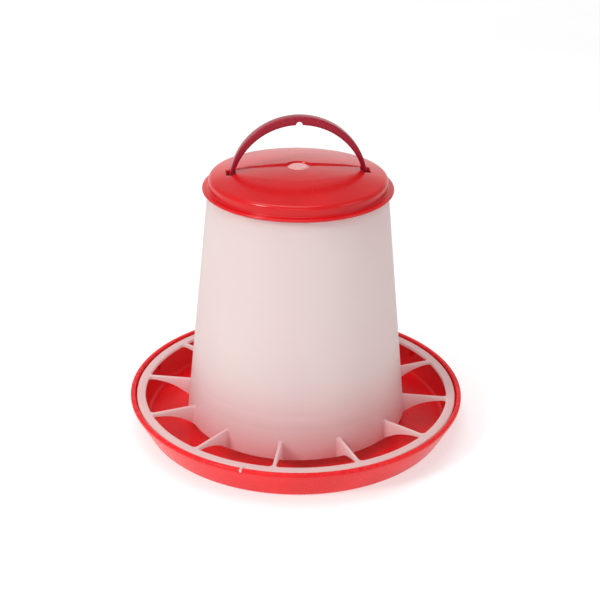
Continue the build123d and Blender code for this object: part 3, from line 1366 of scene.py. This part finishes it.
@dataclass
class Lid:
    """The domed red lid: plug, flange, wall, crown with a sunk field, gate disc, slots and hinge ears."""

    material: bpy.types.Material
    flange_radius: float
    seat: float
    plug_foot: float
    hinge: float
    leg_inner: float
    leg_outer: float
    flange_thickness: float = 2.0
    setback: float = 4.9
    wall_height: float = 7.7
    crown_rise: float = 8.4
    skin: float = 2.4
    shoulder: float = 3.2
    plug_radius: float = 67.0
    plug_wall: float = 1.8
    riser_height: float = 1.3
    riser_setback: float = 4.7
    riser_run: float = 0.8
    field_reach: float = 30.0
    gate_radius: float = 7.0
    gate_margin: float = 2.6
    gate_height: float = 0.6
    gate_run: float = 0.4
    slot_inner_gap: float = 1.9
    slot_outer_gap: float = 2.2
    slot_half: float = 6.5
    slot_lip: float = 0.35
    ear_thickness: float = 3.0
    ear_half: float = 3.9
    bore: float = 1.58
    segments: int = 216
    spacing: float = 1.7

    def __post_init__(self) -> None:
        """Work out the crown's and the sunk field's spheres."""
        self.flange_top = self.seat + self.flange_thickness
        self.wall_radius = self.flange_radius - self.setback
        self.corner_top = self.flange_top + self.wall_height
        self.crown_top = self.corner_top + self.crown_rise
        self.crown_radius = (self.wall_radius ** 2 + self.crown_rise ** 2) / (2 * self.crown_rise)
        front = Vector((0.0, -self.field_reach, self.crown(self.field_reach)))
        foot = Vector((self.leg_inner, 0.0, self.crown(self.leg_inner)))
        riser = Vector((0.0, self.riser_setback, self.crown(self.riser_setback) - self.riser_height))
        rows = [
            (2 * (point.y - front.y), 2 * (point.z - front.z), point.length_squared - front.length_squared)
            for point in (foot, riser)
        ]
        (a, b, e), (c, d, f) = rows
        self.field_y = (e * d - b * f) / (a * d - b * c)
        self.field_z = (a * f - e * c) / (a * d - b * c)
        self.field_radius = hypot(front.y - self.field_y, front.z - self.field_z)

    def crown(self, radius: float, skin: float = 0.0) -> float:
        """Height of the crown, or of the surface one skin under it, at a radius."""
        return self.crown_top - self.crown_radius + sqrt((self.crown_radius - skin) ** 2 - radius ** 2)

    def sunk(self, x: float, y: float) -> float:
        """Height of the sunk field's floor."""
        return self.field_z + sqrt(self.field_radius ** 2 - x * x - (y - self.field_y) ** 2)

    def top(self, x: float, y: float) -> float:
        """Height of the lid's top surface.

        Args:
            x: Where, along X.
            y: Where, along Y.

        Returns:
            The height, with the sunk field and the gate disc.
        """
        radius = hypot(x, y)
        crown = self.crown(radius)
        past = min(y - self.riser_setback, radius - self.gate_radius - self.gate_margin)
        share = smooth(past / self.riser_run)
        height = crown * share + min(crown, self.sunk(x, y)) * (1 - share)
        disc = smooth((self.gate_radius - radius) / self.gate_run)
        return height + (self.sunk(0.0, 0.0) + self.gate_height - height) * disc

    def slots(self, grown: float = 0.0) -> list[list[Point2]]:
        """The two slots' outlines.

        Args:
            grown: A margin round them.

        Returns:
            The slot at +X, and the one at -X.
        """
        low = self.leg_inner - self.slot_inner_gap - grown
        high = self.leg_outer + self.slot_outer_gap + grown
        half = self.slot_half + grown
        corners = [(low, -half), (high, -half), (high, half), (low, half)]
        loop = outline([Corner(x, y, 0.8 + grown, 3) for x, y in corners])
        loop = spread([*loop, loop[0]], 1.0)[:-1]
        return [loop, [(-x, -y) for x, y in loop]]

    def creases(self) -> list[list[Point2]]:
        """Lines on the top that edges follow.

        Returns:
            Lines along the riser and the gate's margin, and round the gate disc.
        """
        lines: list[list[Point2]] = []
        margin = self.gate_radius + self.gate_margin
        reach = self.leg_inner - self.slot_inner_gap - 1.2
        for step in range(4):
            past = self.riser_run * step / 3
            radius, y = margin + past, self.riser_setback + past
            x = sqrt(radius * radius - y * y)
            turn = atan2(y, x)
            arc = [turn + (pi - 2 * turn) * share / 26 for share in range(27)]
            left = spread([(-x, y), (-reach, y)], 1.3)[1:]
            right = spread([(reach, y), (x, y)], 1.3)[:-1]
            lines.append([*right, *[(radius * cos(a), radius * sin(a)) for a in arc], *left])
        for step in range(4):
            loop = circle(self.gate_radius - self.gate_run * step / 3, 44)
            lines.append([*loop, loop[0]])
        return lines

    def scatter(self, reach: float, lines: Sequence[Sequence[Point2]]) -> list[Point2]:
        """Even points inside a radius.

        Args:
            reach: The radius.
            lines: Lines that they keep clear of.

        Returns:
            The points.
        """
        fixed = [point for line in lines for point in line]
        tree = KDTree(len(fixed))
        for index, point in enumerate(fixed):
            tree.insert((*point, 0.0), index)
        tree.balance()
        points = []
        for ring in range(int(reach / self.spacing)):
            radius = reach - (ring + 1) * self.spacing * 0.95
            if radius < 0.5:
                break
            count = max(6, round(tau * radius / self.spacing))
            for step in range(count):
                angle = tau * (step + 0.5 * (ring % 2)) / count
                point = (radius * cos(angle), radius * sin(angle))
                if tree.find((*point, 0.0))[2] > 0.72:
                    points.append(point)
        return points

    def section(self) -> tuple[float, list[Point2]]:
        """The section under the crown.

        Returns:
            The crown's edge radius, and the points from there down, round the plug and up inside.
        """
        centre_radius = self.wall_radius - self.shoulder
        sphere = self.crown_top - self.crown_radius
        lift = sqrt((self.crown_radius - self.shoulder) ** 2 - centre_radius ** 2)
        lean = atan2(lift, centre_radius)
        arc = [lean * (1 - step / 9) for step in range(10)]
        inner = self.wall_radius - self.skin
        wall = [
            (centre_radius + self.shoulder * cos(angle), sphere + lift + self.shoulder * sin(angle))
            for angle in arc
        ]
        rest = outline([
            Corner(*wall[-1]),
            Corner(self.wall_radius, self.flange_top, 0.9, 4),
            Corner(self.flange_radius, self.flange_top, 1.1, 6),
            Corner(self.flange_radius, self.seat, 0.5, 3),
            Corner(self.plug_radius, self.seat, 0.15, 2),
            Corner(self.plug_radius, self.plug_foot, 0.5, 3),
            Corner(self.plug_radius - self.plug_wall, self.plug_foot, 0.5, 3),
            Corner(self.plug_radius - self.plug_wall, self.seat, 0.15, 2),
            Corner(inner, self.flange_top, 0.15, 2),
            Corner(inner, self.crown(inner, self.skin)),
        ], closed=False)
        return wall[0][0], spread([*wall, *rest[1:]], 4.0)

    def ear(self, side: int) -> Shell:
        """One hinge ear beside its slot, with the pin's bore.

        Args:
            side: 1 for the ear at +X, and -1 for the other.

        Returns:
            The ear.
        """
        near = self.leg_outer + self.slot_outer_gap
        far = near + self.ear_thickness
        top = self.crown(hypot(far, self.ear_half)) - self.skin / 2
        round_foot = [
            (self.ear_half * cos(pi + pi * step / 14), self.hinge + self.ear_half * sin(pi + pi * step / 14))
            for step in range(15)
        ]
        loop = [*round_foot, (self.ear_half, top), (-self.ear_half, top)]
        bore = [(y, self.hinge + z) for y, z in reversed(circle(self.bore, 24))]
        levels = [(0.3, near), (0.0, near + 0.3), (0.0, far - 0.3), (0.3, far)]
        if side < 0:
            levels = [(inset, -height) for inset, height in reversed(levels)]
        flat = Shell()
        flat.plate(loop, [bore], levels)
        ear = Shell()
        ear.include(flat, ON_SIDE)
        return ear

    def build(self) -> Piece:
        """Build the lid.

        Returns:
            The lid as one piece.
        """
        shell = Shell()
        edge, section = self.section()
        shell.turn(section, columns_round(self.segments))
        wide, narrow, creases = self.slots(self.slot_lip), self.slots(), self.creases()
        rim = circle(edge, self.segments)
        shell.fill(rim, wide, self.top, creases, self.scatter(edge, [rim, *wide, *creases]))
        inner = self.wall_radius - self.skin
        inner_rim = circle(inner, self.segments)
        shell.fill(
            inner_rim, narrow, lambda x, y: self.crown(hypot(x, y), self.skin), (),
            self.scatter(inner, [inner_rim, *narrow])[::2],
        )
        for outer, slot in zip(wide, narrow):
            rows = [[(x, y, self.top(x, y)) for x, y in outer]]
            for turn in (pi / 6, pi / 3, pi / 2):
                share, drop = sin(turn), self.slot_lip * (1 - cos(turn))
                rows.append([
                    (xo + (x - xo) * share, yo + (y - yo) * share, self.top(xo, yo) - drop)
                    for (xo, yo), (x, y) in zip(outer, slot)
                ])
            rows.append([(x, y, self.crown(hypot(x, y), self.skin)) for x, y in slot])
            indices = [shell.add(row) for row in rows]
            for above, below in zip(indices, indices[1:]):
                shell.strip(above, below)
        ears = Shell()
        for side in (1, -1):
            ears.include(self.ear(side), Matrix.Identity(4))
        mesh = closed_up(shell.mesh("feeder_lid"), ears.mesh("lid_ears"))
        return Piece("feeder_lid", mesh, Body.LID, Slot.LID, self.material, ("lid",), 38.0)


# ---------------------------------------------------------------- handle


@dataclass
class Handle:
    """The bail handle, swept between two arcs, with rounded feet, a hanging notch and hinge pins."""

    material: bpy.types.Material
    top: float
    foot: float
    outer_radius: float = 53.0
    inner_radius: float = 50.5
    grip: float = 6.2
    grip_half: float = 4.5
    leg_half: float = 2.6
    taper: float = 22.0
    notch: float = 2.5
    rounding: float = 1.0
    pin: float = 1.5
    pin_tip: float = 57.28
    foot_steps: int = 10
    foot_span: float = 10.35
    stations: int = 96

    @property
    def hinge(self) -> float:
        """Height of the hinge line."""
        return self.foot + self.leg_half

    def arc_start(self, inside_face: bool) -> tuple[float, float, float]:
        """The outer or inner arc.

        Args:
            inside_face: Whether it is the inner one.

        Returns:
            Its radius, its centre's height, and its starting angle.
        """
        radius = self.inner_radius if inside_face else self.outer_radius
        centre = self.top - (self.grip if inside_face else 0.0) - radius
        return radius, centre, atan2(self.hinge - centre, sqrt(radius ** 2 - (self.hinge - centre) ** 2))

    def leg(self, inside_face: bool) -> float:
        """X of the leg's outer or inner face at the hinge line."""
        radius, _, start = self.arc_start(inside_face)
        return radius * cos(start)

    def half_depth(self, height: float) -> float:
        """Half the handle's front to back depth.

        Args:
            height: The height that it is wanted at.

        Returns:
            The half depth.
        """
        if height < self.hinge:
            return sqrt(max(self.leg_half ** 2 - (self.hinge - height) ** 2, 0.0))
        share = (height - self.hinge) / self.taper
        eased = min(share, 1.0) if share < 0.85 else 0.85 + 0.15 * smooth((share - 0.85) / 0.3)
        return self.leg_half + (self.grip_half - self.leg_half) * min(eased, 1.0)

    def face_point(self, share: float, inside_face: bool) -> Vector:
        """A point on the arch's outer or inner face.

        Args:
            share: How far round from the right foot, 0 to 1.
            inside_face: Whether it is on the inner face.

        Returns:
            The point's X and Z.
        """
        radius, centre, start = self.arc_start(inside_face)
        angle = start + (pi - 2 * start) * share
        point = Vector((radius * cos(angle), centre + radius * sin(angle)))
        if inside_face and abs(point.x) < self.notch + 1.2:
            floor = self.top - self.grip
            inside = max(self.notch ** 2 - point.x ** 2, 0.0)
            near_edge = smooth((abs(point.x) - self.notch + 0.6) / 0.6)
            point.y = max(point.y, floor + sqrt(inside) - 0.25 * near_edge)
        return point

    def ring(self, outer: Vector, inner: Vector, half: float) -> list[Point3]:
        """A rounded section between the two faces.

        Args:
            outer: The outer face's X and Z.
            inner: The inner face's X and Z.
            half: Half the depth, front to back.

        Returns:
            The section's points.
        """
        across = outer - inner
        width = across.length
        across = across / width
        bend = min(self.rounding, 0.46 * width, 0.92 * half)
        corners = [(0.0, -half), (width, -half), (width, half), (0.0, half)]
        loop = outline([Corner(a, b, bend, 5) for a, b in corners])
        return [(inner.x + across.x * a, b, inner.y + across.y * a) for a, b in loop]

    def shares(self) -> list[float]:
        """Places of the sections along the arch.

        Returns:
            Shares from 0 to 1, closer together over the notch.
        """
        radius, _, start = self.arc_start(True)
        span = pi - 2 * start
        near = (self.notch + 1.4) / (radius * span)
        coarse = [step / self.stations for step in range(self.stations + 1)]
        fine = [0.5 - near + 2 * near * step / 28 for step in range(29)]
        return sorted([share for share in coarse if abs(share - 0.5) > near * 1.15] + fine)

    def build(self) -> Piece:
        """Build the handle.

        Returns:
            The handle as one piece.
        """
        rings = []
        for share in self.shares():
            outer, inner = self.face_point(share, False), self.face_point(share, True)
            height = (outer.y + inner.y) / 2
            rings.append(self.ring(outer, inner, self.half_depth(height)))
        feet = []
        for step in range(1, self.foot_steps + 1):
            turn = pi / 2 * step / self.foot_span
            height = self.hinge - self.leg_half * sin(turn)
            feet.append(self.ring(
                Vector((self.leg(False), height)), Vector((self.leg(True), height)),
                self.leg_half * cos(turn),
            ))
        rings = [*reversed(feet), *rings, *[[(-x, y, z) for x, y, z in ring] for ring in feet]]
        shell = Shell()
        rows = [shell.add(ring) for ring in rings]
        for row, after in zip(rows, rows[1:]):
            shell.strip(row, after)
        shell.faces += [tuple(rows[0]), tuple(reversed(rows[-1]))]
        bow = shell.mesh("feeder_handle")
        pins = Shell()
        tip, root = self.pin_tip, (self.leg(True) + self.leg(False)) / 2
        section = outline([
            Corner(0.0, root), Corner(self.pin, root), Corner(self.pin, tip, 0.5, 4), Corner(0.0, tip),
        ], closed=False)
        stub = Shell()
        stub.turn(section, columns_round(28))
        raised = Matrix.Translation((0, 0, self.hinge))
        for side in (1, -1):
            pins.include(stub, raised @ Matrix.Rotation(side * pi / 2, 4, "Y"))
        mesh = closed_up(bow, pins.mesh("handle_pins"))
        return Piece("feeder_handle", mesh, Body.HANDLE, Slot.HANDLE, self.material, ("handle",), 42.0)


# ---------------------------------------------------------------- studio


@dataclass(frozen=True)
class SoftLight:
    """One large soft lamp panel, which the camera doesn't see."""

    name: str
    place: Point3
    aim: Point3
    size: tuple[float, float]
    watts: float
    tint: tuple[float, float, float] = (1.0, 1.0, 1.0)

    def hang(self) -> None:
        """Add the lamp to the scene."""
        lamp = bpy.data.lights.new(self.name, "AREA")
        lamp.shape, lamp.energy, lamp.color = "RECTANGLE", self.watts, self.tint
        lamp.size, lamp.size_y = self.size
        made = bpy.data.objects.new(self.name, lamp)
        direction = Vector(self.aim) - Vector(self.place)
        turn = direction.to_track_quat("-Z", "Y").to_matrix().to_4x4()
        made.matrix_world = Matrix.Translation(self.place) @ turn
        made.visible_camera = False
        bpy.context.scene.collection.objects.link(made)


@dataclass(frozen=True)
class Studio:
    """A plain pale floor, soft light and the camera."""

    camera_place: Point3 = (-0.0880, -0.8972, 0.5268)
    heading: float = radians(5.6) + 0.0027
    pitch: float = 0.439
    roll: float = 0.0121
    lens: float = 75.0
    floor_size: float = 9.0
    sky_radius: float = 14.0
    sky_glow: float = 0.9
    floor_glow: float = 0.5
    fade: tuple[float, float] = (1.7, 4.0)
    far_lift: float = 1.3
    floor_gap: float = 0.0002
    backdrop: float = 0.45
    lights: tuple[SoftLight, ...] = (
        SoftLight("key_left", (-1.6, -1.0, 1.4), (0, 0, 0.1), (0.45, 0.45), 22.0, (1.0, 0.985, 0.96)),
        SoftLight("fill_right", (1.7, -0.8, 1.0), (0, 0, 0.12), (0.9, 0.9), 4.5),
        SoftLight("front", (-0.5, -2.3, 0.9), (0, 0, 0.1), (1.6, 0.9), 8.0),
        SoftLight("ceiling", (-0.35, 0.1, 2.3), (0, 0, 0), (1.6, 1.6), 20.0),
        SoftLight("back_wall", (0.2, 2.2, 0.6), (0, 0, 0.2), (3.4, 0.8), 5.5),
    )

    def build(self) -> None:
        """Set up the floor, lights, surroundings and camera."""
        work = bmesh.new()
        bmesh.ops.create_grid(work, x_segments=1, y_segments=1, size=self.floor_size)
        mesh = bpy.data.meshes.new("studio_floor")
        work.to_mesh(mesh)
        work.free()
        finish = Finish("studio_paper")
        mottle = finish.grain(Grain(400.0, low=0.3, high=0.7))
        tint = finish.blend(colour(204, 204, 204), colour(200, 200, 201), mottle)
        far = (finish.radius * MM).between(*self.fade)
        far_glow = finish.blend(WHITE, (self.far_lift, self.far_lift, self.far_lift, 1.0), far)
        mesh.materials.append(finish.close(
            {"Roughness": 0.9, "Specular IOR Level": 0.0, "Emission Strength": self.floor_glow},
            {"Base Color": tint, "Emission Color": far_glow},
        ))
        mesh.transform(Matrix.Translation((0.0, 0.0, -self.floor_gap)))
        floor = bpy.data.objects.new("studio_floor", mesh)
        bpy.context.scene.collection.objects.link(floor)
        self.raise_sky()
        for light in self.lights:
            light.hang()
        world = bpy.data.worlds.new("studio_air")
        world.use_nodes = True
        air = world.node_tree.nodes["Background"]
        air.inputs["Color"].default_value = WHITE
        air.inputs["Strength"].default_value = self.backdrop
        bpy.context.scene.world = world
        bpy.context.scene.view_settings.view_transform = "Standard"
        self.aim_camera()

    def raise_sky(self) -> None:
        """Set a plain pale dome round the floor, which only the camera sees."""
        work = bmesh.new()
        bmesh.ops.create_icosphere(work, subdivisions=4, radius=self.sky_radius)
        mesh = bpy.data.meshes.new("studio_sky")
        work.to_mesh(mesh)
        work.free()
        mesh.materials.append(Finish("studio_sky_paint").close(
            {"Base Color": (0.0, 0.0, 0.0, 1.0), "Specular IOR Level": 0.0,
             "Emission Strength": self.sky_glow, "Emission Color": WHITE}, {},
        ))
        sky = bpy.data.objects.new("studio_sky", mesh)
        sky.visible_diffuse = sky.visible_glossy = sky.visible_transmission = sky.visible_shadow = False
        bpy.context.scene.collection.objects.link(sky)

    def aim_camera(self) -> None:
        """Place the camera by its heading, pitch and roll."""
        ahead = Vector((
            sin(self.heading) * cos(self.pitch), cos(self.heading) * cos(self.pitch), -sin(self.pitch),
        ))
        right = Vector((cos(self.heading), -sin(self.heading), 0.0))
        up = right.cross(ahead)
        level = cos(self.roll) * right + sin(self.roll) * up
        upright = cos(self.roll) * up - sin(self.roll) * right
        turn = Matrix((level, upright, -ahead)).transposed().to_4x4()
        lens = bpy.data.cameras.new("camera")
        lens.lens, lens.sensor_width = self.lens, 36.0
        lens.clip_start, lens.clip_end = 0.01, 50.0
        camera = bpy.data.objects.new("camera", lens)
        camera.matrix_world = Matrix.Translation(self.camera_place) @ turn
        bpy.context.scene.collection.objects.link(camera)
        bpy.context.scene.camera = camera


# ---------------------------------------------------------------- the feeder

FIN_NODES = tuple(f"divider_fin_{place:02d}" for place in range(1, 13))
FIN_FIRST = FRONT + radians(-13.0)
KEY_FIRST = FRONT + radians(-23.0)
KEY_DROP = 0.3
GUSSET_FIRST = FIN_FIRST + radians(15.0)


def red_finishes() -> dict[Slot, bpy.types.Material]:
    """The red mouldings' materials.

    Returns:
        The materials by slot.
    """
    finishes = {
        Slot.PAN: RedMoulding(
            "pan_red_plastic",
            base=colour(233, 24, 30), deep=colour(222, 19, 26), scuffed=colour(244, 84, 88),
            roughness=0.26, worn_from=24.0, worn_to=26.4, worn_inside=128.0, gloss=0.26,
        ),
        Slot.LID: RedMoulding(
            "lid_red_plastic",
            base=colour(208, 17, 23), deep=colour(198, 12, 19), scuffed=colour(230, 84, 88),
            roughness=0.21, worn_from=207.0, worn_to=214.0, worn_inside=60.0, gloss=0.36,
            gate_disc_tint=colour(238, 176, 176), gate_disc_radius=8.6,
        ),
        Slot.HANDLE: RedMoulding(
            "handle_red_plastic",
            base=colour(152, 18, 42), deep=colour(141, 13, 36), scuffed=colour(196, 92, 110),
            roughness=0.26, worn_from=247.0, worn_to=254.0, worn_inside=0.0, gloss=0.25,
        ),
    }
    return {slot: finish.make() for slot, finish in finishes.items()}


def main() -> None:
    """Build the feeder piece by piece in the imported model's frame."""
    logging.basicConfig(level=logging.INFO, format="%(name)s: %(message)s")
    pan_box, barrel_box, ring_box = Extent.of("pan"), Extent.of("hopper_barrel"), Extent.of("grid_ring")
    fin_box, lid_box, handle_box = Extent.of(FIN_NODES[0]), Extent.of("lid"), Extent.of("handle")
    reds = red_finishes()
    milky = MilkyMoulding(
        "hopper_milky_plastic", milk=colour(244, 232, 231), cream=colour(246, 237, 233),
        painted_red_light=colour(252, 208, 210), painted_deep_red_light=colour(255, 190, 195), painted_light_top=80.0, painted_light_bottom=12.0,
        lid_edge=barrel_box.high.z, ring_radius=123.0,
    ).make()
    handle = Handle(reds[Slot.HANDLE], handle_box.high.z, handle_box.low.z)
    barrel = Barrel(milky, barrel_box.low.z, barrel_box.high.z, barrel_box.high.x)
    grid = FeedingGrid(
        milky, barrel, fin_box.high.z, fin_box.low.z, pan_box.high.x - KEY_DROP, ring_box.high.z,
    )
    lid = Lid(
        reds[Slot.LID], lid_box.high.x, barrel_box.high.z, lid_box.low.z, handle.hinge,
        handle.leg(True), handle.leg(False),
    )
    pan = Pan(reds[Slot.PAN], pan_box.high.x, ring_box.high.z + KEY_DROP)
    notches = [KEY_FIRST + tau * place / grid.keys for place in range(grid.keys)]
    pieces = [
        pan.build(notches, GUSSET_FIRST),
        barrel.build(),
        grid.build(FIN_FIRST, KEY_FIRST, ("grid_ring", *FIN_NODES)),
        lid.build(),
        handle.build(),
    ]
    for piece in pieces:
        piece.place()
    Studio().build()


if __name__ == "__main__":
    main()
